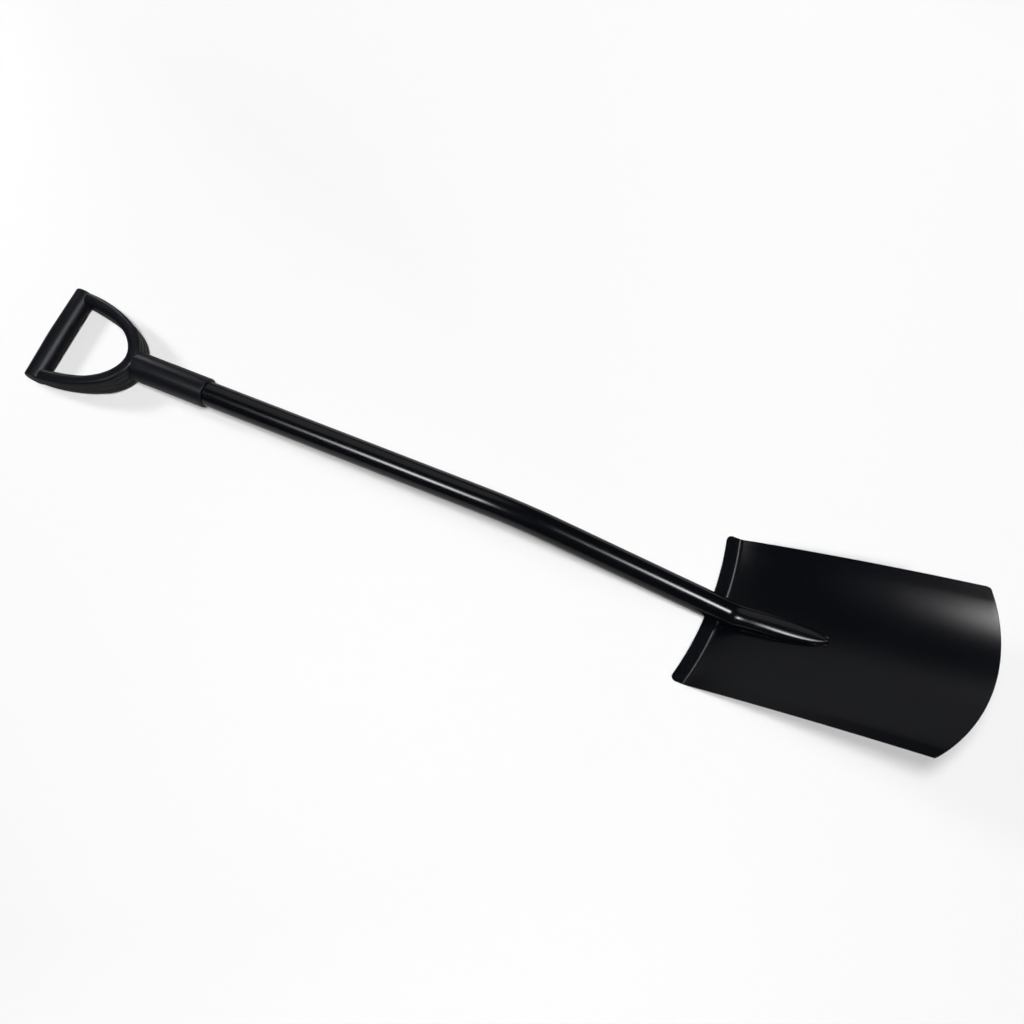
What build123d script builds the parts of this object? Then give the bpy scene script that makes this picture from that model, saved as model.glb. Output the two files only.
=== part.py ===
from build123d import *
import math
import os

# Garden spade lying on its back, front face up: a pressed steel blade, a bent steel
# tube whose flattened toe is welded to the front of the blade, and a moulded D-grip
# pushed over the tube's upper end and held by one screw from behind.
# Millimetres. The pieces are drawn in the tool's own frame, X along the upper tube
# from grip to blade, Z towards the front, Y across, with the grip bar's axis at X = 0.
# They are laid down at the end: +Z up, origin under the middle of the lying tool.

# Tube
tube_diameter = 30.0
tube_wall = 1.5
upper_tube_length = 457.0
bend_radius = 362.0
bend_angle = 14.3
neck_length = 208.4

# Toe: the tube's lower end, pressed flat on the blade from the crease on. It flares down
# to a gentle ramp, draws in to an even width and ends in a round nose.
toe_length = 124.0
toe_lead = 2.0
toe_tip_height = 5.5
toe_ramp = 7.0
toe_flare = 7
toe_width = 26.0
toe_nose_start = 0.3
toe_nose_end = 1.03
toe_steps = (0, 0.06, 0.13, 0.22, 0.34, 0.48, 0.62, 0.75, 0.86, 0.94, 1)
toe_seat = 0.6
toe_hollow_share = 0.8

# Blade
blade_pitch = 24.0
blade_width = 183.0
blade_length = 270.0
tip_bulge = 26.5
tip_corner_radius = 7.0
blade_thickness = 2.0
dish_at_crease = 5.5
dish_at_tip = 24.0
dish_fullness = 4.5

# Tread: the blade's upper edge, folded forward
tread_width = 16.5
tread_fold = 25.0
tread_bow = 10.0
tread_corner_radius = 6.0
crease_radius = 14.0

# Grip
grip_width = 126.5
bar_radius = 13.0
bar_swell = 0.9
bar_edge_radius = 2.5
opening_width = 100.0
opening_depth = 90.5
shoulder_from_bar = 37.0
shoulder_half_width = 45.0
flank_from_bar = 67.0
flank_half_width = 33.5
arm_at_shoulder = (2.0, 11.0)
arm_at_flank = (10.0, 7.5)
arm_overlap = 10.0
arm_end_inset = 1.5
loop_thickness_at_bar = 20.0
loop_thickness_at_socket = 35.0
loop_edge_radius = 4.0
groove_count = 3
groove_width = 2.2
groove_depth = 1.4
groove_spread = 5.0
groove_from_bar = 7.0
groove_overlap = 2.0

# Socket sleeve of the grip
sleeve_wall = 2.8
sleeve_length = 111.0
crotch_wall = 0.5
sleeve_rim_radius = 2.0
socket_floor = 18.0
socket_clearance = 0.2

# Grip screw
screw_diameter = 4.0
screw_length = 9.0
screw_head_diameter = 8.0
screw_head_height = 2.6
screw_from_rim = 22.0
screw_clearance = 0.1
screw_seat_depth = 0.8
screw_drive_width = 1.2

# Welds
side_weld_steps = (0.12, 0.3, 0.5, 0.68, 0.82, 0.92)
side_weld_radius = 2.4
side_weld_reach = 0.88
tip_weld_radius = 2.6
tread_weld_radius = 4.2
tread_weld_reach = 0.64
weld_clearance = 0.45

tube_radius = tube_diameter / 2
socket_radius = tube_radius + socket_clearance
sleeve_radius = socket_radius + sleeve_wall
bar_inner_edge = bar_radius
sleeve_start = bar_inner_edge + opening_depth + crotch_wall
sleeve_end = sleeve_start + sleeve_length
tube_start = sleeve_start + socket_floor
bend_start = tube_start + upper_tube_length
shoulder_x = bar_inner_edge + shoulder_from_bar
flank_x = bar_inner_edge + flank_from_bar
arm_end_x = sleeve_start + arm_overlap
toe_lean = math.radians(bend_angle + blade_pitch)
toe_root_lean = tube_diameter * math.sin(toe_lean)
toe_root_height = tube_diameter * math.cos(toe_lean)


def polar(length, degrees):
    """A step in the tool's middle plane, as (x, z)."""
    return Vector(
        length * math.cos(math.radians(degrees)),
        0,
        length * math.sin(math.radians(degrees)),
    )


# The tube's axis, in the middle plane
upper_end = Vector(tube_start, 0, 0)
bend_begin = Vector(bend_start, 0, 0)
bend_centre = bend_begin + polar(bend_radius, -90)
bend_mid = bend_centre + polar(bend_radius, 90 - bend_angle / 2)
bend_end = bend_centre + polar(bend_radius, 90 - bend_angle)
neck_end = bend_end + polar(neck_length, -bend_angle)
toe_begin = neck_end - polar(toe_lead, -bend_angle)

# The blade's own frame: origin at the middle of the crease on the front face, where the
# tube's underside meets it, X along the blade to the tip, Z out of its front face.
blade_along = polar(1, blade_pitch)
blade_normal = polar(1, 90 + blade_pitch)
crease_point = neck_end + polar(tube_radius, -90 - bend_angle)
blade_frame = Plane(origin=crease_point, x_dir=blade_along, z_dir=blade_normal)


def dish(along):
    """Depth of the dish along the blade, filling out between crease and tip."""
    share = along / blade_length
    even = dish_at_crease + (dish_at_tip - dish_at_crease) * share
    return even + 4 * dish_fullness * share * (1 - share)


def space_over_blade(sink):
    """The space in front of the dished blade, its floor lowered by sink."""
    half = blade_width / 2
    margin = half / 3
    reach = half + margin
    height = blade_width
    start = -margin
    stretch = blade_length + tip_bulge + 2 * margin
    sections = []
    for share in (0, 1 / 3, 2 / 3, 1):
        along = start + share * stretch
        radius = (half**2 + dish(along) ** 2) / (2 * dish(along))
        rise = radius - math.sqrt((radius + sink) ** 2 - reach**2)
        floor = ThreePointArc((-reach, rise), (0, -sink), (reach, rise))
        walls = Polyline((reach, rise), (reach, height), (-reach, height), (-reach, rise))
        across = Plane(origin=(along, 0, 0), x_dir=(0, 1, 0), z_dir=(1, 0, 0))
        sections.append(across * make_face([floor, walls]))
    return loft(sections)


def space_over_tread(sink):
    """The space in front of the folded tread's plane, lowered by sink."""
    fold = math.radians(tread_fold)
    reach = 2 * (blade_length + tip_bulge)
    foot = Vector(-sink * math.sin(fold), -sink * math.cos(fold))
    back = foot + Vector(-reach * math.cos(fold), reach * math.sin(fold))
    front = foot + Vector(reach * math.cos(fold), -reach * math.sin(fold))
    rise = Vector(0, 2 * reach)
    profile = make_face(Polyline(back, front, front + rise, back + rise, close=True))
    return extrude(Plane.XZ * profile, amount=blade_width, both=True)


def sheet_side(sink):
    """The space in front of blade and tread together, with the crease rounded."""
    space = space_over_blade(sink) & space_over_tread(sink)
    crease = space.edges().sort_by_distance((0, 0, -sink))[0]
    return fillet(crease, crease_radius + sink)


def blade_outline():
    """The blade seen square to its front, as a prism through the sheet."""
    half = blade_width / 2
    edge_middle = -tread_width * math.cos(math.radians(tread_fold))
    edge_corner = edge_middle - tread_bow
    tip_corner = blade_length
    tread_edge = ThreePointArc((edge_corner, half), (edge_middle, 0), (edge_corner, -half))
    tip_edge = ThreePointArc((tip_corner, -half), (tip_corner + tip_bulge, 0), (tip_corner, half))
    lower_side = Line((edge_corner, -half), (tip_corner, -half))
    upper_side = Line((tip_corner, half), (edge_corner, half))
    face = make_face([tread_edge, lower_side, tip_edge, upper_side])
    corners = face.vertices().group_by(Axis.X)
    face = fillet(corners[0], tread_corner_radius)
    corners = face.vertices().sort_by_distance((tip_corner, half))[:1]
    corners += face.vertices().sort_by_distance((tip_corner, -half))[:1]
    face = fillet(corners, tip_corner_radius)
    return extrude(face, amount=blade_width / 2, both=True)


def space_off_sheet():
    """The space in front of the sheet's front face, raised off it by the weld clearance."""
    return Pos(0, 0, weld_clearance) * sheet_side(0)


def make_blade():
    sheet = sheet_side(blade_thickness) - sheet_side(0)
    return blade_frame.location * (sheet & blade_outline())


def toe_half_width(share):
    """Half the toe's width at a share of its length: even, then drawn in to the nose."""
    even = toe_width / 2 + (tube_radius - toe_width / 2) * (1 - share) ** toe_flare
    nose = max(0, (share - toe_nose_start) / (toe_nose_end - toe_nose_start))
    return even * math.sqrt(1 - nose**2)


def toe_section(share, inset):
    """One oval section of the toe, leaning like the tube at the root, upright at the tip."""
    flare = (1 - share) ** toe_flare
    root_drop = toe_root_height - toe_tip_height - toe_ramp
    top_x = toe_root_lean + (toe_length - toe_root_lean) * share
    top_z = toe_tip_height + toe_ramp * (1 - share) + root_drop * flare
    top = Vector(top_x, 0, top_z - toe_seat * share)
    foot = Vector(top_x - toe_root_lean * flare, 0, -toe_seat * share)
    up = top - foot
    place = Plane(origin=(top + foot) / 2, x_dir=(0, 1, 0), z_dir=(up.Z, 0, -up.X))
    return place * Ellipse(toe_half_width(share) - inset, up.length / 2 - inset)


def toe_solid(inset, length_share):
    root = toe_section(0, inset)
    lead = Pos(-toe_lead * math.cos(toe_lean), 0, toe_lead * math.sin(toe_lean)) * root
    sections = [toe_section(length_share * step, inset) for step in toe_steps]
    return blade_frame.location * loft([lead] + sections)


def tube_path():
    return Wire(
        [
            Edge.make_line(upper_end, bend_begin),
            Edge.make_three_point_arc(bend_begin, bend_mid, bend_end),
            Edge.make_line(bend_end, toe_begin),
        ]
    )


def tube_solid(inset):
    start = Plane(origin=upper_end, z_dir=(1, 0, 0))
    return sweep(start * Circle(tube_radius - inset), path=tube_path())


def shaft_outside():
    return tube_solid(0) + toe_solid(0, 1)


def make_shaft():
    """The hollow tube, its toe's underside shaped to the blade's front face."""
    inside = tube_solid(tube_wall) + toe_solid(tube_wall, toe_hollow_share)
    bed = blade_frame.location * (sheet_side(blade_thickness) - space_off_sheet())
    return shaft_outside() - inside - screw_hole() - bed


def make_bar():
    """The hand bar: straight on the side of the opening, swelling on the other."""
    sections = []
    for share in (-1, -0.5, 0, 0.5, 1):
        half_width = bar_radius + bar_swell * (1 - share**2)
        place = Plane(
            origin=(bar_inner_edge - half_width, share * grip_width / 2, 0),
            x_dir=(1, 0, 0),
            z_dir=(0, 1, 0),
        )
        sections.append(place * Ellipse(half_width, bar_radius))
    bar = loft(sections)
    ends = bar.faces().sort_by(Axis.Y)
    return fillet(ends[0].edges() + ends[-1].edges(), bar_edge_radius)


def loop_outline():
    """Outer edge of the D-loop, from the bar to the socket sleeve."""
    half = grip_width / 2
    shoulder = (shoulder_x + arm_at_shoulder[0], shoulder_half_width + arm_at_shoulder[1])
    flank = (flank_x + arm_at_flank[0], flank_half_width + arm_at_flank[1])
    end = (arm_end_x, sleeve_radius - arm_end_inset)
    arm = ThreePointArc((0, half), shoulder, flank)
    root = TangentArc(flank, end, tangent=arm % 1)
    middle = Polyline(end, (arm_end_x, 0), (0, 0), (0, half))
    upper = make_face([arm, root, middle])
    return upper + mirror(upper, about=Plane.XZ)


def opening_outline():
    """The hand opening: straight along the bar, drawn in to a round at the socket."""
    upper = [
        (bar_inner_edge, opening_width / 2),
        (shoulder_x, shoulder_half_width),
        (flank_x, flank_half_width),
    ]
    lower = [(x, -y) for x, y in reversed(upper)]
    points = upper + [(bar_inner_edge + opening_depth, 0)] + lower
    return make_face([Spline(*points), Line(points[-1], points[0])])


def loop_wedge():
    """Side view of the loop, thicker at the socket than at the bar."""
    near = loop_thickness_at_bar / 2
    far = loop_thickness_at_socket / 2
    profile = make_face(
        Polyline((0, -near), (arm_end_x, -far), (arm_end_x, far), (0, near), close=True)
    )
    return extrude(Plane.XZ * profile, amount=grip_width, both=True)


def make_loop():
    outline = loop_outline() - opening_outline()
    loop = extrude(outline, amount=loop_thickness_at_socket, both=True) & loop_wedge()
    faces = loop.faces().sort_by(Axis.Z)
    rims = faces[0].edges() + faces[-1].edges()
    rims = [edge for edge in rims if 1 < edge.center().X < arm_end_x - 1]
    return fillet(rims, loop_edge_radius)


def make_grooves():
    """Grooves round the loop's outer edge that fan out from the bar to the socket."""
    outline = loop_outline()
    band = outline - offset(outline, amount=-groove_depth)
    band = extrude(band, amount=loop_thickness_at_socket, both=True)
    start = bar_inner_edge + groove_from_bar
    reach = sleeve_start + groove_overlap - start
    grooves = []
    for i in range(groove_count):
        tilt = groove_spread * (i - (groove_count - 1) / 2)
        slab = Pos(start + reach / 2, 0, 0) * Box(reach, 2 * grip_width, groove_width)
        grooves.append(Rot(0, tilt, 0) * slab & band)
    return grooves


def screw_axis():
    """The screw's place: on the back of the sleeve, pointing out of it."""
    return Plane(origin=(sleeve_end - screw_from_rim, 0, -sleeve_radius), z_dir=(0, 0, -1))


def screw_hole():
    radius = screw_diameter / 2 + screw_clearance
    depth = screw_length + screw_clearance
    return screw_axis().location * Pos(0, 0, -depth / 2) * Cylinder(radius, depth)


def screw_seat():
    """Flat seat for the screw's head in the round of the sleeve."""
    radius = screw_head_diameter / 2 + screw_clearance
    place = Pos(0, 0, -screw_seat_depth) * Cylinder(
        radius, sleeve_radius, align=(Align.CENTER, Align.CENTER, Align.MIN)
    )
    return screw_axis().location * place


def make_grip():
    turn = Plane(origin=(sleeve_start, 0, 0), z_dir=(1, 0, 0))
    low = (Align.CENTER, Align.CENTER, Align.MIN)
    sleeve = turn.location * Cylinder(sleeve_radius, sleeve_length, align=low)
    rim = sleeve.faces().sort_by(Axis.X)[-1].edges()
    sleeve = fillet(rim, sleeve_rim_radius)
    depth = sleeve_length - socket_floor
    bore = Cylinder(socket_radius, depth, align=low)
    bore = turn.location * Pos(0, 0, socket_floor) * bore
    grip = make_bar() + make_loop() + sleeve
    for groove in make_grooves():
        grip -= groove
    return grip - bore - screw_hole() - screw_seat()


def make_screw():
    low = (Align.CENTER, Align.CENTER, Align.MIN)
    head = Cylinder(screw_head_diameter / 2, screw_head_height, align=low)
    head = fillet(head.faces().sort_by(Axis.Z)[-1].edges(), screw_head_height / 2)
    slot = Box(screw_head_diameter, screw_drive_width, screw_head_height)
    cross = slot + Rot(0, 0, 90) * slot
    head -= Pos(0, 0, screw_head_height) * cross
    shank_length = screw_length - screw_seat_depth
    shank = Pos(0, 0, -shank_length) * Cylinder(screw_diameter / 2, shank_length, align=low)
    return screw_axis().location * Pos(0, 0, -screw_seat_depth) * (head + shank)


def weld_metal(shape, cutters):
    """Weld drawn in the blade's frame, kept in front of the sheet and off its neighbours."""
    weld = blade_frame.location * (shape & space_off_sheet())
    for cutter in cutters:
        weld -= cutter
    return weld


def side_weld_shape(side):
    """Bead along one flank of the toe, from its root to the nose."""
    sections = []
    for share in side_weld_steps:
        along = toe_root_lean + (toe_length - toe_root_lean) * share
        across = side * side_weld_reach * toe_half_width(share)
        place = Plane(origin=(along, across, side_weld_radius / 2), z_dir=(1, 0, 0))
        sections.append(place * Circle(side_weld_radius))
    return loft(sections)


def tip_weld_shape():
    """Two dabs of weld at the corners of the toe's tip."""
    dabs = []
    for side in (-1, 1):
        across = side * (toe_half_width(1) + tip_weld_radius / 4)
        dabs.append(Pos(toe_length, across, 0) * Sphere(tip_weld_radius))
    return dabs[0] + dabs[1]


def tread_weld_shape(side):
    """Dab of weld that bridges the tube's flank and the crease."""
    place = Pos(0, side * tread_weld_reach * tube_radius, tread_weld_radius / 2)
    return place * Sphere(tread_weld_radius)


def build_pieces():
    outside = shaft_outside()
    left_weld = weld_metal(side_weld_shape(1), [outside])
    right_weld = weld_metal(side_weld_shape(-1), [outside])
    laid_first = [outside, left_weld, right_weld]
    return {
        "blade": make_blade(),
        "shaft_tube": make_shaft(),
        "grip": make_grip(),
        "grip_screw": make_screw(),
        "toe_weld_left": left_weld,
        "toe_weld_right": right_weld,
        "toe_tip_welds": weld_metal(tip_weld_shape(), laid_first),
        "tread_weld_left": weld_metal(tread_weld_shape(1), laid_first),
        "tread_weld_right": weld_metal(tread_weld_shape(-1), laid_first),
    }


def rest_angle():
    """How far the upper tube climbs when grip bar and blade heel, both round, touch the floor."""
    inward = crease_radius * math.tan(math.radians(tread_fold / 2))
    heel = crease_point + blade_along * inward + blade_normal * crease_radius
    heel_radius = crease_radius + blade_thickness
    run = heel.X - bar_inner_edge + bar_radius
    lift = math.asin((heel_radius - bar_radius) / math.hypot(run, heel.Z))
    return math.degrees(lift - math.atan2(heel.Z, run))


def main():
    os.makedirs("parts", exist_ok=True)
    laid = {}
    for name, piece in build_pieces().items():
        laid[name] = Rot(0, -rest_angle(), 0) * piece
    box = Compound(children=[Compound(piece.wrapped) for piece in laid.values()]).bounding_box()
    to_origin = Pos(-box.center().X, 0, -box.min.Z)
    for name, piece in laid.items():
        export_step(to_origin * piece, f"parts/{name}.step")
    print("rest angle", round(rest_angle(), 3))
    print("size", [round(side, 2) for side in (box.size.X, box.size.Y, box.size.Z)])
    print("tool frame moved by", round(-box.center().X, 3), round(-box.min.Z, 3))


main()
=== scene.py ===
import math

import bmesh
import bpy
from bpy.props import FloatProperty, FloatVectorProperty, PointerProperty
from mathutils import Matrix, Vector


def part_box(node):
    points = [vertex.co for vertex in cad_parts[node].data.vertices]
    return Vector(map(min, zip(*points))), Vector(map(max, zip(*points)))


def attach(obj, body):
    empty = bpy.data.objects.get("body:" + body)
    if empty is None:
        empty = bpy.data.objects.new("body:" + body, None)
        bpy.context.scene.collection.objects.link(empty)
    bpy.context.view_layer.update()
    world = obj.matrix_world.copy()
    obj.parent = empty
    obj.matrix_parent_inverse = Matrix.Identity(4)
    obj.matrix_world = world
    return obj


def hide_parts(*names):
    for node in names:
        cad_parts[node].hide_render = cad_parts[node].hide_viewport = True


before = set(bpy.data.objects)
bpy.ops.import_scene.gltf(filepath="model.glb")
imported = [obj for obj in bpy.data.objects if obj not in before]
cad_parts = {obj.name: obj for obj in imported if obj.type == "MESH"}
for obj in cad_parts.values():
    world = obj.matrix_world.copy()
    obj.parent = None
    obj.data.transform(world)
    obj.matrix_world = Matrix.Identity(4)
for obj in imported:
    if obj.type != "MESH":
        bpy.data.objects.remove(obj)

bl_info = {
    "name": "Garden Spade",
    "version": (1, 0, 0),
    "blender": (4, 5, 0),
    "location": "View3D > Sidebar > Spade",
    "description": "Models a steel garden spade with a moulded D-grip and lights it on a floor",
    "category": "Add Mesh",
}

# The pieces are modelled in one of two frames, in metres, and then laid down.
# Tool frame: X along the upper tube from grip to blade, Z to the front, grip bar at X = 0.
# Blade frame: X along the blade from its crease to its tip, Z out of its front face.
# As the tool lies, its upper tube climbs by REST_ANGLE and its bar's axis is at TOOL_ORIGIN.
REST_ANGLE = math.radians(4.381)
TOOL_ORIGIN = Vector((-0.558519, 0, 0.014267))
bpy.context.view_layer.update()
BLADE_LOW, BLADE_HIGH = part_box("blade")
GRIP_LOW, GRIP_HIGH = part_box("grip")


def length(name, description, default):
    return FloatProperty(
        name=name, description=description, default=default, min=0.0, precision=4, unit="LENGTH"
    )


def angle(name, description, degrees):
    return FloatProperty(
        name=name, description=description, default=math.radians(degrees), subtype="ANGLE"
    )


def colour(name, description, default):
    return FloatVectorProperty(
        name=name, description=description, default=default, min=0.0, max=1.0, subtype="COLOR"
    )


def amount(name, description, default, top=1.0):
    return FloatProperty(name=name, description=description, default=default, min=0.0, max=top)


class SpadeShaftSizes(bpy.types.PropertyGroup):
    """Sizes of the bent tube and its flattened toe."""

    tube_radius: length("Tube radius", "Outside radius of the tube", 0.015)
    tube_wall: length("Tube wall", "Thickness of the tube's wall", 0.0015)
    upper_length: length("Upper length", "Straight tube from the socket to the bend", 0.457)
    bend_radius: length("Bend radius", "Radius of the bend at the tube's axis", 0.362)
    bend_angle: angle("Bend angle", "Turn of the tube between grip and blade", 14.3)
    neck_length: length("Neck length", "Straight tube from the bend to the crease", 0.2084)
    toe_length: length("Toe length", "From the crease to the toe's tip", 0.124)
    toe_tip_height: length("Toe tip height", "Height of the toe at its tip", 0.0055)
    toe_ramp: length("Toe ramp", "Fall of the toe's top between root and tip", 0.007)
    toe_flare: amount("Toe flare", "How soon the tube flattens to the toe", 7.0, 20.0)
    toe_width: length("Toe width", "Even width of the toe before its nose", 0.026)
    toe_nose_start: amount("Nose start", "Share of the toe where its nose draws in", 0.3)
    toe_nose_end: amount("Nose end", "Share of the toe where its nose would close", 1.03, 2.0)
    toe_crown: amount("Toe crown", "How nearly the toe's top falls straight from tube to tip", 0.9)
    toe_onset: amount("Toe onset", "How soon after the crease the toe's top is crowned", 6.0, 20.0)
    toe_shoulder: amount("Toe shoulder", "How soon the raised top falls off to the flanks", 0.6)
    toe_seat: length("Toe seat", "How deep the toe's tip is pressed onto the blade", 0.0006)


class SpadeBladeSizes(bpy.types.PropertyGroup):
    """Sizes of the pressed blade and its tread."""

    pitch: angle("Pitch", "Lift of the blade from the upper tube's line", 24.0)
    width: length("Width", "Width of the blade", BLADE_HIGH.y - BLADE_LOW.y)
    side_length: length("Side length", "Length of the blade's side from the crease", 0.270)
    tip_bulge: length("Tip bulge", "How far the cutting edge bows out", 0.0265)
    tip_corner: length("Tip corner", "Radius of the cutting edge's corners", 0.007)
    thickness: length("Thickness", "Thickness of the sheet", 0.002)
    dish_at_crease: length("Dish at crease", "Depth of the dish at the crease", 0.0055)
    dish_at_tip: length("Dish at tip", "Depth of the dish at the tip", 0.024)
    dish_fullness: length("Dish fullness", "Extra depth halfway along", 0.0045)
    tread_width: length("Tread width", "Width of the folded tread", 0.0165)
    tread_fold: angle("Tread fold", "Angle that the tread is folded forward", 25.0)
    tread_bow: length("Tread bow", "How far the tread's corners sit back", 0.010)
    tread_corner: length("Tread corner", "Radius of the tread's corners", 0.006)
    crease_radius: length("Crease radius", "Radius of the fold on the front face", 0.014)


class SpadeGripSizes(bpy.types.PropertyGroup):
    """Sizes of the moulded D-grip and its screw."""

    width: length("Width", "Length of the hand bar", GRIP_HIGH.y - GRIP_LOW.y)
    bar_radius: length("Bar radius", "Radius of the hand bar at its ends", 0.013)
    bar_swell: length("Bar swell", "How much the bar thickens at its middle", 0.0009)
    bar_edge: length("Bar edge", "Rounding of the bar's ends", 0.0015)
    thickness_at_bar: length("Thickness at bar", "Front to back of the arms at the bar", 0.020)
    thickness_at_socket: length("Thickness at socket", "Front to back at the socket", 0.0368)
    groove_width: length("Groove width", "Width of the grooves round the loop", 0.0022)
    groove_depth: length("Groove depth", "Depth of the grooves round the loop", 0.0014)
    groove_spread: amount("Groove spread", "Place of the outer grooves in the half thickness", 0.53)
    sleeve_radius: length("Sleeve radius", "Outside radius of the socket sleeve", 0.018)
    sleeve_start: length("Sleeve start", "From the bar's axis to the sleeve", 0.104)
    sleeve_length: length("Sleeve length", "Length of the socket sleeve", 0.111)
    sleeve_rim: length("Sleeve rim", "Rounding of the sleeve's mouth", 0.002)
    tube_start: length("Tube start", "From the bar's axis to the tube's end", 0.122)
    socket_radius: length("Socket radius", "Radius of the bore for the tube", 0.0152)
    screw_from_rim: length("Screw from rim", "From the sleeve's mouth to the screw", 0.022)
    screw_head: length("Screw head", "Diameter of the screw's head", 0.008)
    screw_height: length("Screw height", "Height of the screw's head", 0.0026)
    screw_seat: length("Screw seat", "How deep the head sits in the sleeve", 0.0008)
    screw_drive: length("Screw drive", "Width of the cross in the screw's head", 0.0012)


class SpadeWeldSizes(bpy.types.PropertyGroup):
    """Sizes of the weld metal between toe and blade."""

    bead_radius: length("Bead radius", "Radius of the beads along the toe", 0.0024)
    bead_reach: amount("Bead reach", "Share of the toe's half width where the beads lie", 0.88, 2.0)
    bead_pitch: length("Ripple pitch", "From one ripple of a bead to the next", 0.0024)
    ripple: amount("Ripple", "Height of the ripples as a share of the bead", 0.07)
    dab_radius: length("Dab radius", "Radius of the dabs at the toe's tip", 0.0026)
    tread_radius: length("Tread weld radius", "Radius of the welds at the crease", 0.0036)


class SpadeFinish(bpy.types.PropertyGroup):
    """Colours of the finishes."""

    blade_colour: colour("Blade coat", "Satin powder coat of the blade", (0.0012, 0.0015, 0.0026))
    tube_colour: colour("Tube coat", "Glossy coat of the tube and welds", (0.0015, 0.0018, 0.0027))
    grip_colour: colour("Grip plastic", "Moulded plastic of the grip", (0.0022, 0.0027, 0.0046))
    screw_colour: colour("Screw steel", "Plated steel of the screw", (0.42, 0.41, 0.39))
    floor_colour: colour("Floor", "Pale studio floor", (0.95, 0.95, 0.95))


class SpadeStageSizes(bpy.types.PropertyGroup):
    """Floor and backdrop of the stage."""

    floor_size: length("Floor size", "Side of the floor", 12.0)
    backdrop_radius: length("Backdrop radius", "Radius of the dome round the floor", 18.0)
    backdrop_fade: length("Backdrop fade", "Height where the dome is as pale as the floor", 4.0)
    # The dome's tone at the horizon is painted shade that matches the far floor, where the lamps'
    # light falls off.
    horizon_shade: amount("Horizon tone", "Tone of the dome where it meets the far floor", 0.64)


def sizes():
    """The shaft's and the blade's sizes."""
    scene = bpy.context.scene
    return scene.spade_shaft, scene.spade_blade


def polar(distance, turn):
    """A step in the tool's middle plane."""
    return Vector((distance * math.cos(turn), 0, distance * math.sin(turn)))


def add_shape(name, primitive, **options):
    """Adds a primitive as the only selected object, with its place in its mesh."""
    if bpy.context.object and bpy.context.object.mode != "OBJECT":
        bpy.ops.object.mode_set(mode="OBJECT")
    bpy.ops.object.select_all(action="DESELECT")
    primitive(**options)
    piece = bpy.context.object
    piece.name = name
    piece.data.name = name
    bpy.ops.object.transform_apply(location=True, rotation=True, scale=True)
    bpy.ops.object.mode_set(mode="EDIT")
    bpy.ops.mesh.select_mode(type="VERT")
    return piece


def pick(piece, kind, test):
    """Selects the verts, edges or faces of the piece in edit mode that pass the test."""
    types = {"verts": "VERT", "edges": "EDGE", "faces": "FACE"}
    bpy.ops.mesh.select_all(action="DESELECT")
    bpy.ops.mesh.select_mode(type=types[kind])
    mesh = bmesh.from_edit_mesh(piece.data)
    found = [item for item in getattr(mesh, kind) if test(item)]
    for item in found:
        item.select_set(True)
    mesh.select_flush_mode()
    bmesh.update_edit_mesh(piece.data)
    if not found:
        raise RuntimeError(f"{piece.name}: nothing to select")


def only(piece):
    """Back to object mode with this piece alone selected."""
    if bpy.context.object and bpy.context.object.mode != "OBJECT":
        bpy.ops.object.mode_set(mode="OBJECT")
    bpy.ops.object.select_all(action="DESELECT")
    piece.select_set(True)
    bpy.context.view_layer.objects.active = piece


def apply_modifier(piece, kind, **values):
    """Adds a modifier with these values and applies it."""
    only(piece)
    modifier = piece.modifiers.new(kind.title(), kind)
    for key, value in values.items():
        setattr(modifier, key, value)
    bpy.ops.object.modifier_apply(modifier=modifier.name)


def face_out():
    """Closes the seams of the piece in edit mode and turns its faces outwards."""
    bpy.ops.mesh.select_all(action="SELECT")
    bpy.ops.mesh.remove_doubles(threshold=1e-6)
    bpy.ops.mesh.normals_make_consistent(inside=False)


def lay_down(piece, turn=0.0, origin=Vector((0, 0, 0))):
    """Moves a piece from the tool frame, or from a frame in it, to where the tool lies."""
    only(piece)
    spot = Matrix.Rotation(-REST_ANGLE, 3, "Y") @ origin + TOOL_ORIGIN
    piece.location = spot
    piece.rotation_euler = (0, -REST_ANGLE - turn, 0)
    bpy.ops.object.transform_apply(location=True, rotation=True, scale=True)


def crease_point():
    """Origin of the blade frame in the tool frame."""
    shaft = sizes()[0]
    grip = bpy.context.scene.spade_grip
    start = Vector((grip.tube_start, 0, 0))
    bend_begin = start + Vector((shaft.upper_length, 0, 0))
    bend_centre = bend_begin + polar(shaft.bend_radius, math.radians(-90))
    bend_end = bend_centre + polar(shaft.bend_radius, math.radians(90) - shaft.bend_angle)
    neck_end = bend_end + polar(shaft.neck_length, -shaft.bend_angle)
    return neck_end + polar(shaft.tube_radius, math.radians(-90) - shaft.bend_angle)


def toe_half_width(share):
    """Half the toe's width at a share of its length: even, then drawn in to the nose."""
    shaft = sizes()[0]
    even = shaft.toe_width / 2
    even += (shaft.tube_radius - even) * (1 - share) ** shaft.toe_flare
    nose = (share - shaft.toe_nose_start) / (shaft.toe_nose_end - shaft.toe_nose_start)
    return even * math.sqrt(1 - max(0.0, nose) ** 2)


def toe_section(share):
    """Foot and top of the toe's section: leaning like the tube at the root, upright at the tip."""
    shaft, blade = sizes()
    lean = shaft.bend_angle + blade.pitch
    root_lean = 2 * shaft.tube_radius * math.sin(lean)
    root_height = 2 * shaft.tube_radius * math.cos(lean)
    flare = (1 - share) ** shaft.toe_flare
    along = root_lean + (shaft.toe_length - root_lean) * share
    height = shaft.toe_tip_height + shaft.toe_ramp * (1 - share)
    height += (root_height - shaft.toe_tip_height - shaft.toe_ramp) * flare
    foot = Vector((along - root_lean * flare, 0, -shaft.toe_seat * share))
    return foot, Vector((along, 0, height - shaft.toe_seat * share))


def lay_on_blade(piece):
    """Moves a piece from the blade frame to where the tool lies."""
    lay_down(piece, sizes()[1].pitch, crease_point())


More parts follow.
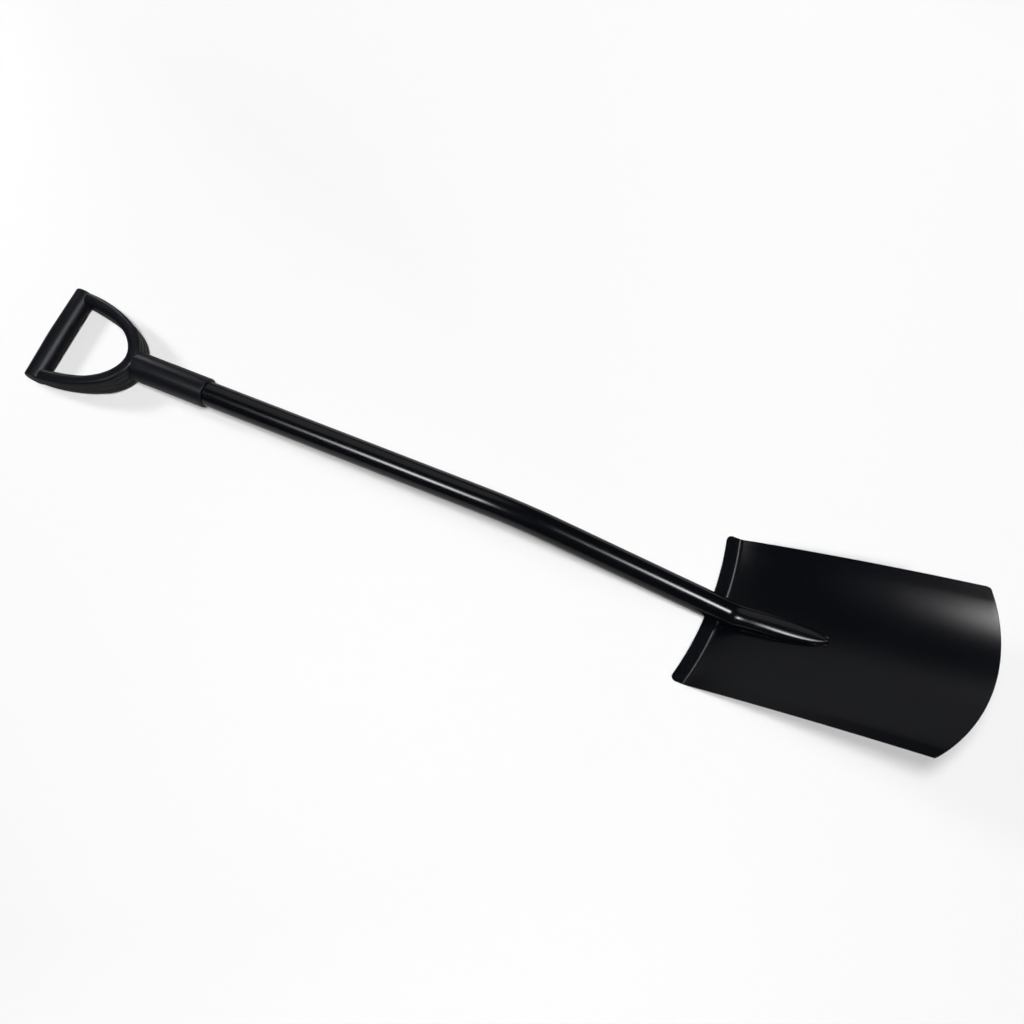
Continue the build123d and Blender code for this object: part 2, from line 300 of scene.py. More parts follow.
def finish_piece(piece, slot, material, *nodes):
    """Rides on the tool's one body, in place of its CAD nodes, with its finish."""
    only(piece)
    piece.data.materials.clear()
    piece.data.materials.append(material)
    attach(piece, "root")
    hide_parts(*nodes)


class Finish:
    """A node material in the making."""

    def __init__(self, name):
        self.material = bpy.data.materials.get(name) or bpy.data.materials.new(name)
        self.material.use_nodes = True
        self.tree = self.material.node_tree
        self.tree.nodes.clear()
        self.output = self.node("ShaderNodeOutputMaterial")
        self.shader = self.node("ShaderNodeBsdfPrincipled")
        self.link(self.shader, "BSDF", self.output, "Surface")
        self.place = self.node("ShaderNodeTexCoord")

    def node(self, kind, **values):
        made = self.tree.nodes.new(kind)
        for key, value in values.items():
            setattr(made, key, value)
        return made

    def link(self, start, out, end, into):
        self.tree.links.new(start.outputs[out], end.inputs[into])

    def noise(self, scale, detail=2.0, roughness=0.5, stretch=None):
        """Noise in the tool's frame, drawn out along an axis where it is stretched."""
        made = self.node("ShaderNodeTexNoise")
        made.inputs["Scale"].default_value = scale
        made.inputs["Detail"].default_value = detail
        made.inputs["Roughness"].default_value = roughness
        if stretch:
            turn = self.node("ShaderNodeMapping")
            turn.inputs["Scale"].default_value = stretch
            self.link(self.place, "Object", turn, "Vector")
            self.link(turn, "Vector", made, "Vector")
        else:
            self.link(self.place, "Object", made, "Vector")
        return made

    def ramp(self, source, low, high, dark, light, into):
        """Colour or value between dark and light as the source goes from low to high."""
        made = self.node("ShaderNodeValToRGB")
        made.color_ramp.elements[0].position = low
        made.color_ramp.elements[1].position = high
        made.color_ramp.elements[0].color = (*dark, 1)
        made.color_ramp.elements[1].color = (*light, 1)
        self.link(source, "Fac", made, "Fac")
        self.link(made, "Color", self.shader, into)
        return made.color_ramp

    def spread(self, source, low, high, into):
        """A value between low and high as the source goes from 0 to 1."""
        made = self.node("ShaderNodeMapRange")
        made.inputs["To Min"].default_value = low
        made.inputs["To Max"].default_value = high
        self.link(source, "Fac", made, "Value")
        self.link(made, "Result", self.shader, into)

    def bump(self, *layers):
        """Stacks bumps, each given as its source, its strength and its height in metres."""
        last = None
        for source, strength, height in layers:
            made = self.node("ShaderNodeBump")
            made.inputs["Strength"].default_value = strength
            made.inputs["Distance"].default_value = height
            self.link(source, "Fac", made, "Height")
            if last:
                self.link(last, "Normal", made, "Normal")
            last = made
        self.link(last, "Normal", self.shader, "Normal")


def shade(tone, share):
    """A colour made darker or lighter."""
    return tuple(channel * share for channel in tone)


def powder_coat(name, tone, roughness, grain, grain_height, shine=0.5):
    """Black stoved powder: a fine orange-peel skin with slight drift in tone and gloss."""
    finish = Finish(name)
    drift = finish.noise(18.0, 3.0)
    peel = finish.noise(grain, 2.0, 0.55)
    flow = finish.noise(grain / 6, 2.0, 0.5)
    finish.ramp(drift, 0.3, 0.7, shade(tone, 0.88), shade(tone, 1.14), "Base Color")
    finish.spread(drift, roughness * 0.93, roughness * 1.07, "Roughness")
    finish.bump((flow, 0.25, grain_height * 2), (peel, 0.35, grain_height))
    finish.shader.inputs["Specular IOR Level"].default_value = shine
    return finish.material


def moulded_plastic(name, tone, roughness):
    """Satin moulded plastic with a fine spark-eroded grain."""
    finish = Finish(name)
    drift = finish.noise(30.0, 2.0)
    grain = finish.noise(1500.0, 2.0, 0.6)
    finish.ramp(drift, 0.3, 0.7, shade(tone, 0.9), shade(tone, 1.12), "Base Color")
    finish.spread(grain, roughness * 0.9, roughness * 1.1, "Roughness")
    finish.bump((grain, 0.3, 0.00008))
    return finish.material


def plated_steel(name, tone, roughness):
    """Zinc-plated steel with fine turning marks and dull patches."""
    finish = Finish(name)
    drift = finish.noise(400.0, 3.0)
    turned = finish.noise(2500.0, 1.0, 0.5, (1, 1, 0.1))
    finish.ramp(drift, 0.3, 0.7, shade(tone, 0.8), shade(tone, 1.1), "Base Color")
    finish.spread(turned, roughness * 0.8, roughness * 1.2, "Roughness")
    finish.bump((turned, 0.25, 0.00005))
    finish.shader.inputs["Metallic"].default_value = 1.0
    return finish.material


class SPADE_OT_shaft(bpy.types.Operator):
    """Bend the tube and press its toe flat"""

    bl_idname = "spade.shaft"
    bl_label = "Shaft"

    # Steps that round the toe's blunt tip: how far each goes on, and how much it shrinks.
    tip_rounding = ((0.0006, 0.94), (0.0005, 0.84), (0.0003, 0.66))

    def execute(self, context):
        shaft, blade = sizes()
        foot, top = toe_section(0)
        start = (foot + top) / 2
        turn = shaft.bend_angle + blade.pitch
        piece = add_shape(
            "shaft",
            bpy.ops.mesh.primitive_circle_add,
            vertices=72,
            radius=shaft.tube_radius,
            location=start,
            rotation=(0, math.radians(90) + turn, 0),
        )
        self.press_toe(shaft, start, turn)
        self.crown_toe(piece, shaft)
        self.bend_tube(piece, shaft, blade, start, turn)
        face_out()
        apply_modifier(piece, "SOLIDIFY", thickness=shaft.tube_wall, offset=-1, use_rim=True)
        bpy.ops.object.shade_smooth_by_angle(angle=math.radians(40))
        lay_on_blade(piece)
        finish = context.scene.spade_finish
        coat = powder_coat(
            "tube_coat", finish.tube_colour, roughness=0.18, grain=420.0, grain_height=0.00006
        )
        finish_piece(piece, "tube_coat", coat, "shaft_tube")
        return {"FINISHED"}

    def press_toe(self, shaft, start, turn):
        """Draws the tube's last ring out over the blade to the toe's blunt tip and closes it."""
        bpy.ops.mesh.select_all(action="SELECT")
        wide = tall = 2 * shaft.tube_radius
        spot, lean = start, turn
        steps = 48
        for step in range(1, steps + 1):
            share = (1 - math.cos(math.pi * step / steps)) / 2
            foot, top = toe_section(share)
            up = top - foot
            centre = (foot + top) / 2
            next_wide = 2 * toe_half_width(share)
            self.ring(spot, centre, lean, (1, next_wide / wide, up.length / tall))
            lean = math.atan2(up.x, up.z)
            bpy.ops.transform.rotate(value=-lean, orient_axis="Y", center_override=centre)
            wide, tall, spot = next_wide, up.length, centre
        for along, shrink in self.tip_rounding:
            centre = spot + Vector((along, 0, 0))
            self.ring(spot, centre, 0.0, (1, shrink, shrink))
            spot = centre
        bpy.ops.mesh.edge_face_add()

    def crown_toe(self, piece, shaft):
        """Raises the toe's upper half towards a straight fall from the tube to the tip."""
        root, tip = toe_section(0)[1], toe_section(1)[1]
        mesh = bmesh.from_edit_mesh(piece.data)
        for vert in mesh.verts:
            share = min(1.0, (vert.co.x - root.x) / (tip.x - root.x))
            if share <= 0:
                continue
            foot, top = toe_section(share)
            middle = (foot.z + top.z) / 2
            if vert.co.z > middle:
                gap = root.z + (tip.z - root.z) * share - top.z
                crown = shaft.toe_crown * (1 - (1 - share) ** shaft.toe_onset)
                rise = ((vert.co.z - middle) / (top.z - middle)) ** shaft.toe_shoulder
                vert.co.z += crown * gap * rise
        bmesh.update_edit_mesh(piece.data)

    def ring(self, spot, centre, lean, scale):
        """Extrudes the ring to a new middle, sets it upright and scales it."""
        bpy.ops.mesh.extrude_edges_move(TRANSFORM_OT_translate={"value": centre - spot})
        bpy.ops.transform.rotate(value=lean, orient_axis="Y", center_override=centre)
        bpy.ops.transform.resize(value=scale, center_override=centre)

    def bend_tube(self, piece, shaft, blade, start, turn):
        """Carries the toe's first ring back along the neck, the bend and the upper tube."""
        forward = polar(1, -turn)

        def on_root(vert):
            return abs((vert.co - start).dot(forward)) < 1e-6

        pick(piece, "edges", lambda e: all(on_root(v) for v in e.verts))
        neck = polar(-shaft.neck_length, -turn)
        bpy.ops.mesh.extrude_edges_move(TRANSFORM_OT_translate={"value": neck})
        spot = start + neck
        centre = spot + polar(shaft.bend_radius, math.radians(-90) - turn)
        bpy.ops.mesh.spin(steps=28, angle=shaft.bend_angle, center=centre, axis=(0, 1, 0))
        upper = polar(-shaft.upper_length, -blade.pitch)
        bpy.ops.mesh.extrude_edges_move(TRANSFORM_OT_translate={"value": upper})


class SPADE_OT_blade(bpy.types.Operator):
    """Press the dished blade and fold its tread"""

    bl_idname = "spade.blade"
    bl_label = "Blade"

    # Angles of the sheet's corners before they are rounded, in degrees.
    tread_corner_angle = 77.6
    tip_corner_angle = 122.0
    # Stretch beside each corner that is left without points, so that it can be rounded.
    corner_clear = 0.0085
    # Rounding of the sheet's edges.
    edge_rounding = 0.00045

    def execute(self, context):
        blade = context.scene.spade_blade
        half = blade.width / 2
        bulge = blade.tip_bulge
        arc_radius = (half**2 + bulge**2) / (2 * bulge)
        piece = add_shape(
            "blade_sheet",
            bpy.ops.mesh.primitive_circle_add,
            vertices=320,
            radius=arc_radius,
            location=(-arc_radius, 0, 0),
        )
        self.tread_edge(piece, blade, half, bulge)
        self.draw_rows(blade)
        self.round_corners(piece, blade)
        self.fold_crease(piece, blade)
        face_out()
        if sum(f.normal.z for f in bmesh.from_edit_mesh(piece.data).faces) < 0:
            bpy.ops.mesh.flip_normals()
        apply_modifier(
            piece,
            "SOLIDIFY",
            thickness=blade.thickness,
            offset=-1,
            use_rim=True,
            use_even_offset=True,
        )
        self.square_sides(piece, half)
        apply_modifier(
            piece,
            "BEVEL",
            width=self.edge_rounding,
            segments=3,
            limit_method="ANGLE",
            angle_limit=math.radians(50),
        )
        bpy.ops.object.shade_smooth_by_angle(angle=math.radians(35))
        apply_modifier(piece, "WEIGHTED_NORMAL", keep_sharp=True)
        lay_on_blade(piece)
        finish = context.scene.spade_finish
        coat = powder_coat(
            "blade_coat",
            finish.blade_colour,
            roughness=0.20,
            grain=900.0,
            grain_height=0.00004,
            shine=0.34,
        )
        finish_piece(piece, "blade_coat", coat, "blade")
        return {"FINISHED"}

    def square_sides(self, piece, half):
        """Trims the back of the sheet to the width of its front."""
        only(piece)
        bpy.ops.object.mode_set(mode="EDIT")
        for side in (-1, 1):
            pick(piece, "verts", lambda v: side * v.co.y > half + 1e-7)
            bpy.ops.transform.resize(value=(1, 0, 1), center_override=(0, side * half, 0))

    def tread_edge(self, piece, blade, half, bulge):
        """Trims the circle to the tread's edge and tips it into the tread's plane."""
        bpy.ops.mesh.select_all(action="SELECT")
        bpy.ops.mesh.bisect(
            plane_co=(-bulge, 0, 0), plane_no=(-1, 0, 0), clear_outer=True, threshold=1e-6
        )
        clear = half - self.corner_clear
        pick(piece, "verts", lambda v: clear < abs(v.co.y) < half - 0.0001)
        bpy.ops.mesh.dissolve_verts()
        bpy.ops.mesh.select_all(action="SELECT")
        bow = blade.tread_bow / math.cos(blade.tread_fold)
        bpy.ops.transform.resize(value=(bow / bulge, 1, 1), center_override=(0, 0, 0))
        only(piece)
        piece.rotation_euler = (0, blade.tread_fold, 0)
        piece.location = polar(-blade.tread_width, -blade.tread_fold)
        bpy.ops.object.transform_apply(location=True, rotation=True, scale=True)
        bpy.ops.object.mode_set(mode="EDIT")
        bpy.ops.mesh.select_all(action="SELECT")

    def dish(self, blade, along):
        """Depth of the dish at a place along the blade."""
        share = along / blade.side_length
        even = blade.dish_at_crease + (blade.dish_at_tip - blade.dish_at_crease) * share
        return even + 4 * blade.dish_fullness * share * (1 - share)

    def crease_bow(self, blade):
        """How far back the crease's ends lie, where the dish meets the tread's plane."""
        bow = blade.tread_bow
        for _ in range(30):
            bow = self.dish(blade, -bow) / math.tan(blade.tread_fold)
        return bow

    def draw_rows(self, blade):
        """Draws the tread's edge down over the tread and the blade, row by row."""
        slope = math.tan(blade.tread_fold)
        edge = polar(-blade.tread_width, -blade.tread_fold)
        crease = self.crease_bow(blade)
        reach = blade.side_length + blade.tip_bulge
        rows = []
        for share in (0.55, 1.0):
            bow = blade.tread_bow + (crease - blade.tread_bow) * share
            rows.append((edge * (1 - share), bow, slope * bow))
        steps = 64
        for step in range(1, steps + 1):
            share = step / steps
            bow = crease + (blade.tip_bulge - crease) * share
            along = Vector((reach * share, 0, 0))
            rows.append((along, bow, self.dish(blade, along.x - bow)))
        spot, bow, rise = edge, blade.tread_bow, slope * blade.tread_bow
        for centre, next_bow, next_rise in rows:
            bpy.ops.mesh.extrude_edges_move(TRANSFORM_OT_translate={"value": centre - spot})
            bpy.ops.transform.resize(
                value=(next_bow / bow, 1, next_rise / rise), center_override=centre
            )
            spot, bow, rise = centre, next_bow, next_rise

    def round_corners(self, piece, blade):
        """Rounds the tread's and the cutting edge's corners."""
        def corner(vert):
            return len(vert.link_edges) == 2

        middle = blade.side_length / 2
        for front, radius, spread in (
            (False, blade.tread_corner, self.tread_corner_angle),
            (True, blade.tip_corner, self.tip_corner_angle),
        ):
            offset = radius / math.tan(math.radians(spread / 2))
            pick(piece, "verts", lambda v: corner(v) and (v.co.x > middle) == front)
            bpy.ops.mesh.bevel(
                offset=offset, offset_pct=0, segments=8, profile=0.5, affect="VERTICES"
            )

    def fold_crease(self, piece, blade):
        """Rounds the fold between the tread and the blade."""
        crease = self.crease_bow(blade)
        slope = math.tan(blade.tread_fold)

        def on_crease(edge):
            across = abs(edge.verts[0].co.y - edge.verts[1].co.y) > 1e-5
            spots = [v.co for v in edge.verts]
            flat = all(abs(s.z + slope * s.x) < 2e-5 for s in spots)
            near = all(-crease * 1.01 < s.x < 1e-6 for s in spots)
            return across and flat and near and len(edge.link_faces) == 2

        pick(piece, "edges", lambda e: on_crease(e) and self.folded(e))
        width = blade.crease_radius * math.tan(blade.tread_fold / 2)
        bpy.ops.mesh.bevel(offset=width, offset_pct=0, segments=12, profile=0.5, affect="EDGES")

    def folded(self, edge):
        """True where the faces beside an edge meet at the fold's angle."""
        first, second = edge.link_faces
        return first.normal.angle(second.normal) > math.radians(8)


def smooth_line(rows, parts):
    """Rows of numbers with more rows set between them on a smooth curve."""
    line = []
    for i in range(len(rows) - 1):
        four = [rows[max(0, i - 1)], rows[i], rows[i + 1], rows[min(len(rows) - 1, i + 2)]]
        for part in range(parts):
            t = part / parts
            line.append([
                b + t / 2 * (c - a + t * (2 * a - 5 * b + 4 * c - d + t * (3 * (b - c) + d - a)))
                for a, b, c, d in zip(*four)
            ])
    return line + [list(rows[-1])]


class SPADE_OT_grip(bpy.types.Operator):
    """Mould the D-grip with its bar, loop and socket sleeve"""

    bl_idname = "spade.grip"
    bl_label = "Grip"

    # The loop from the crotch round to the bar: middle of its section, its width, its turn.
    loop_line = (
        (0.1099, 0.0000, 0.0152, 0.0),
        (0.1085, 0.0087, 0.0153, 16.6),
        (0.1053, 0.0164, 0.0158, 28.8),
        (0.1008, 0.0230, 0.0158, 37.8),
        (0.0955, 0.0287, 0.0157, 44.9),
        (0.0896, 0.0336, 0.0152, 50.9),
        (0.0832, 0.0375, 0.0143, 56.6),
        (0.0697, 0.0440, 0.0133, 67.9),
        (0.0558, 0.0486, 0.0136, 76.4),
        (0.0417, 0.0519, 0.0142, 80.8),
        (0.0276, 0.0543, 0.0144, 83.4),
        (0.0136, 0.0558, 0.0139, 84.7),
        (0.0000, 0.0563, 0.0135, 86.0),
    )
    # Rounding of the loop's section towards the opening and on its outer side.
    inner_rounding = 0.0065
    outer_rounding = 0.0050
    # The mould's line across the crotch: a point of it, its normal, its width and its height.
    seam_point = Vector((0.1035, 0.0055, 0))
    seam_normal = Vector((-0.106, 1, 0)).normalized()
    seam_width = 0.00035
    seam_height = 0.0003
    # The sleeve's tapered start in the loop: its set-back, its length and its first radius.
    taper_start = 0.004
    taper_length = 0.0063
    taper_share = 0.72

    def execute(self, context):
        grip = context.scene.spade_grip
        loop = self.make_loop(grip)
        for other in (self.make_bar(grip), self.make_sleeve(grip)):
            self.join(loop, other, "UNION")
        self.raise_seam(loop)
        self.join(loop, self.make_bore(grip), "DIFFERENCE")
        self.join(loop, self.make_seat(grip), "DIFFERENCE")
        only(loop)
        bpy.ops.object.shade_smooth_by_angle(angle=math.radians(34))
        lay_down(loop)
        loop.name = "grip_moulding"
        loop.data.name = "grip_moulding"
        finish = context.scene.spade_finish
        plastic = moulded_plastic("grip_plastic", finish.grip_colour, roughness=0.40)
        finish_piece(loop, "grip_plastic", plastic, "grip")
        return {"FINISHED"}

    def join(self, piece, other, operation):
        """Adds another shape to the piece or cuts it from it."""
        apply_modifier(piece, "BOOLEAN", operation=operation, solver="EXACT", object=other)
        bpy.data.objects.remove(other)

    def make_bar(self, grip):
        """The hand bar: two shallow cones that meet at its middle."""
        half = grip.width / 2
        radius = grip.bar_radius
        piece = add_shape(
            "bar",
            bpy.ops.mesh.primitive_circle_add,
            vertices=72,
            radius=radius,
            location=(0, -half, 0),
            rotation=(math.radians(90), 0, 0),
        )
        bpy.ops.mesh.select_all(action="SELECT")
        bpy.ops.mesh.edge_face_add()
        wide = radius
        for place in (0, half):
            next_wide = radius + (grip.bar_swell if place == 0 else 0)
            bpy.ops.mesh.extrude_region_move(TRANSFORM_OT_translate={"value": (0, half, 0)})
            bpy.ops.transform.resize(
                value=(next_wide / wide, 1, 1), center_override=(radius, place, 0)
            )
            wide = next_wide
        face_out()
        pick(piece, "edges", lambda e: all(abs(abs(v.co.y) - half) < 1e-6 for v in e.verts))
        bpy.ops.mesh.bevel(
            offset=grip.bar_edge, offset_pct=0, segments=4, profile=0.5, affect="EDGES"
        )
        only(piece)
        return piece

    def make_loop(self, grip):
        """One arm drawn from the crotch to the bar, and mirrored."""
        first = self.loop_line[0]
        tall = grip.thickness_at_socket
        piece = add_shape(
            "loop",
            bpy.ops.mesh.primitive_plane_add,
            size=1,
            location=(first[0], 0, 0),
            rotation=(math.radians(90), 0, 0),
        )
        bpy.ops.mesh.select_all(action="SELECT")
        bpy.ops.transform.resize(
            value=(first[2], 1, tall), center_override=(first[0], 0, 0)
        )
        self.shape_section(piece, grip, first, tall)
        bpy.ops.mesh.select_all(action="SELECT")
        spot, wide, turn = Vector((first[0], 0, 0)), first[2], 0.0
        for x, y, next_wide, degrees in smooth_line(self.loop_line, 3)[1:]:
            next_tall = grip.thickness_at_bar + x / first[0] * (
                grip.thickness_at_socket - grip.thickness_at_bar
            )
            centre = Vector((x, y, 0))
            bpy.ops.mesh.extrude_region_move(TRANSFORM_OT_translate={"value": centre - spot})
            bpy.ops.transform.rotate(value=turn, orient_axis="Z", center_override=centre)
            bpy.ops.transform.resize(
                value=(next_wide / wide, 1, next_tall / tall), center_override=centre
            )
            turn = math.radians(degrees)
            bpy.ops.transform.rotate(value=-turn, orient_axis="Z", center_override=centre)
            spot, wide, tall = centre, next_wide, next_tall
        pick(piece, "faces", lambda f: all(abs(v.co.y) < 1e-6 for v in f.verts))
        bpy.ops.mesh.delete(type="FACE")
        face_out()
        apply_modifier(
            piece, "MIRROR", use_axis=(False, True, False), use_clip=True, merge_threshold=1e-5
        )
        bpy.ops.object.mode_set(mode="EDIT")
        face_out()
        only(piece)
        return piece

    def shape_section(self, piece, grip, first, tall):
        """Rounds the section towards the opening and cuts grooves in its outer side."""
        inner, outer = first[0] - first[2] / 2, first[0] + first[2] / 2
        for edge, offset, steps in (
            (inner, self.inner_rounding, 10),
            (outer, self.outer_rounding, 9),
        ):
            pick(piece, "verts", lambda v: abs(v.co.x - edge) < 1e-6 and abs(v.co.z) > 0.49 * tall)
            bpy.ops.mesh.bevel(
                offset=offset, offset_pct=0, segments=steps, profile=0.5, affect="VERTICES"
            )
        floors = []
        for side in (-1, 0, 1):
            line = side * grip.groove_spread * tall / 2
            for share in (-0.5, -0.2, 0.2, 0.5):
                place = line + share * grip.groove_width
                bpy.ops.mesh.select_all(action="SELECT")
                bpy.ops.mesh.bisect(
                    plane_co=(0, 0, place), plane_no=(0, 0, 1), threshold=1e-6
                )
                if abs(share) < 0.5:
                    floors.append(place)
        pick(
            piece,
            "verts",
            lambda v: v.co.x > outer - 1e-5 and any(abs(v.co.z - z) < 1e-6 for z in floors),
        )
        bpy.ops.transform.translate(value=(-grip.groove_depth, 0, 0))

    def raise_seam(self, piece):
        """The fine line that the mould leaves across the front of the crotch."""
        def off_line(spot):
            return abs((spot - self.seam_point).dot(self.seam_normal))

        def near(spot):
            return 0.098 < spot.x < 0.1165 and off_line(spot) < 0.009 and spot.z > 0

        def on_seam(vert):
            return near(vert.co) and off_line(vert.co) < 2e-6

        only(piece)
        bpy.ops.object.mode_set(mode="EDIT")
        pick(piece, "faces", lambda f: near(f.calc_center_median()))
        bpy.ops.mesh.bisect(
            plane_co=self.seam_point, plane_no=self.seam_normal, threshold=1e-6
        )
        pick(piece, "edges", lambda e: all(on_seam(v) for v in e.verts))
        bpy.ops.mesh.bevel(
            offset=self.seam_width, offset_pct=0, segments=2, profile=0.5, affect="EDGES"
        )
        pick(piece, "verts", on_seam)
        bpy.ops.transform.shrink_fatten(value=self.seam_height)

    def make_sleeve(self, grip):
        """The socket sleeve, let into the loop, with its rounded mouth."""
        end = grip.sleeve_start + grip.sleeve_length
        start = grip.sleeve_start + self.taper_start
        inner = self.taper_share * grip.sleeve_radius
        piece = add_shape(
            "sleeve",
            bpy.ops.mesh.primitive_circle_add,
            vertices=96,
            radius=inner,
            location=(start, 0, 0),
            rotation=(0, math.radians(90), 0),
        )
        bpy.ops.mesh.select_all(action="SELECT")
        bpy.ops.mesh.edge_face_add()
        taper = self.taper_length
        bpy.ops.mesh.extrude_region_move(TRANSFORM_OT_translate={"value": (taper, 0, 0)})
        grow = grip.sleeve_radius / inner
        bpy.ops.transform.resize(value=(1, grow, grow), center_override=(start + taper, 0, 0))
        run = end - start - taper
        bpy.ops.mesh.extrude_region_move(TRANSFORM_OT_translate={"value": (run, 0, 0)})
        face_out()
        pick(piece, "edges", lambda e: all(abs(v.co.x - end) < 1e-6 for v in e.verts))
        bpy.ops.mesh.bevel(
            offset=grip.sleeve_rim, offset_pct=0, segments=6, profile=0.5, affect="EDGES"
        )
        only(piece)
        return piece

    def make_bore(self, grip):
        """The bore that the tube is pushed into."""
        end = grip.sleeve_start + grip.sleeve_length
        past = 0.01
        piece = add_shape(
            "bore",
            bpy.ops.mesh.primitive_cylinder_add,
            vertices=96,
            radius=grip.socket_radius,
            depth=end - grip.tube_start + past,
            location=((end + grip.tube_start + past) / 2, 0, 0),
            rotation=(0, math.radians(90), 0),
        )
        only(piece)
        return piece

    def make_seat(self, grip):
        """The flat seat for the screw's head in the back of the sleeve."""
        top = -grip.sleeve_radius + grip.screw_seat
        play, depth = 0.0001, 0.01
        piece = add_shape(
            "seat",
            bpy.ops.mesh.primitive_cylinder_add,
            vertices=48,
            radius=grip.screw_head / 2 + play,
            depth=depth,
            location=(screw_along(grip), 0, top - depth / 2),
        )
        only(piece)
        return piece


def screw_along(grip):
    """The screw's place along the tool."""
    return grip.sleeve_start + grip.sleeve_length - grip.screw_from_rim


class SPADE_OT_grip_screw(bpy.types.Operator):
    """Set the cross-headed screw in the back of the sleeve"""

    bl_idname = "spade.grip_screw"
    bl_label = "Grip Screw"

    # Steps of the domed head: share of its height and of its radius.
    head_profile = ((0.25, 1.0), (0.5, 0.975), (0.72, 0.91), (0.88, 0.80), (1.0, 0.62))
    # Length of the shank below the head, and of the cross's arms as a share of the radius.
    shank_length = 0.006
    drive_share = 1.15

    def execute(self, context):
        grip = context.scene.spade_grip
        along = screw_along(grip)
        seat = -grip.sleeve_radius + grip.screw_seat
        radius = grip.screw_head / 2
        piece = add_shape(
            "grip_screw_head",
            bpy.ops.mesh.primitive_circle_add,
            vertices=48,
            radius=radius,
            location=(along, 0, seat),
        )
        bpy.ops.mesh.select_all(action="SELECT")
        bpy.ops.mesh.edge_face_add()
        spot, wide = seat, 1.0
        for drop, share in self.head_profile:
            place = seat - drop * grip.screw_height
            bpy.ops.mesh.extrude_region_move(TRANSFORM_OT_translate={"value": (0, 0, place - spot)})
            bpy.ops.transform.resize(
                value=(share / wide, share / wide, 1), center_override=(along, 0, place)
            )
            spot, wide = place, share
        face_out()
        pick(piece, "faces", lambda f: all(abs(v.co.z - seat) < 1e-6 for v in f.verts))
        bpy.ops.mesh.inset(thickness=radius / 2)
        shank = (0, 0, self.shank_length)
        bpy.ops.mesh.extrude_region_move(TRANSFORM_OT_translate={"value": shank})
        for turn in (0, 90):
            driver = add_shape(
                "driver",
                bpy.ops.mesh.primitive_cube_add,
                size=1,
                location=(along, 0, spot),
                rotation=(0, 0, math.radians(turn)),
                scale=(self.drive_share * radius, grip.screw_drive, grip.screw_height),
            )
            apply_modifier(piece, "BOOLEAN", operation="DIFFERENCE", solver="EXACT", object=driver)
            bpy.data.objects.remove(driver)
        only(piece)
        bpy.ops.object.shade_smooth_by_angle(angle=math.radians(35))
        lay_down(piece)
        finish = context.scene.spade_finish
        steel = plated_steel("screw_steel", finish.screw_colour, roughness=0.34)
        finish_piece(piece, "screw_steel", steel, "grip_screw")
        return {"FINISHED"}


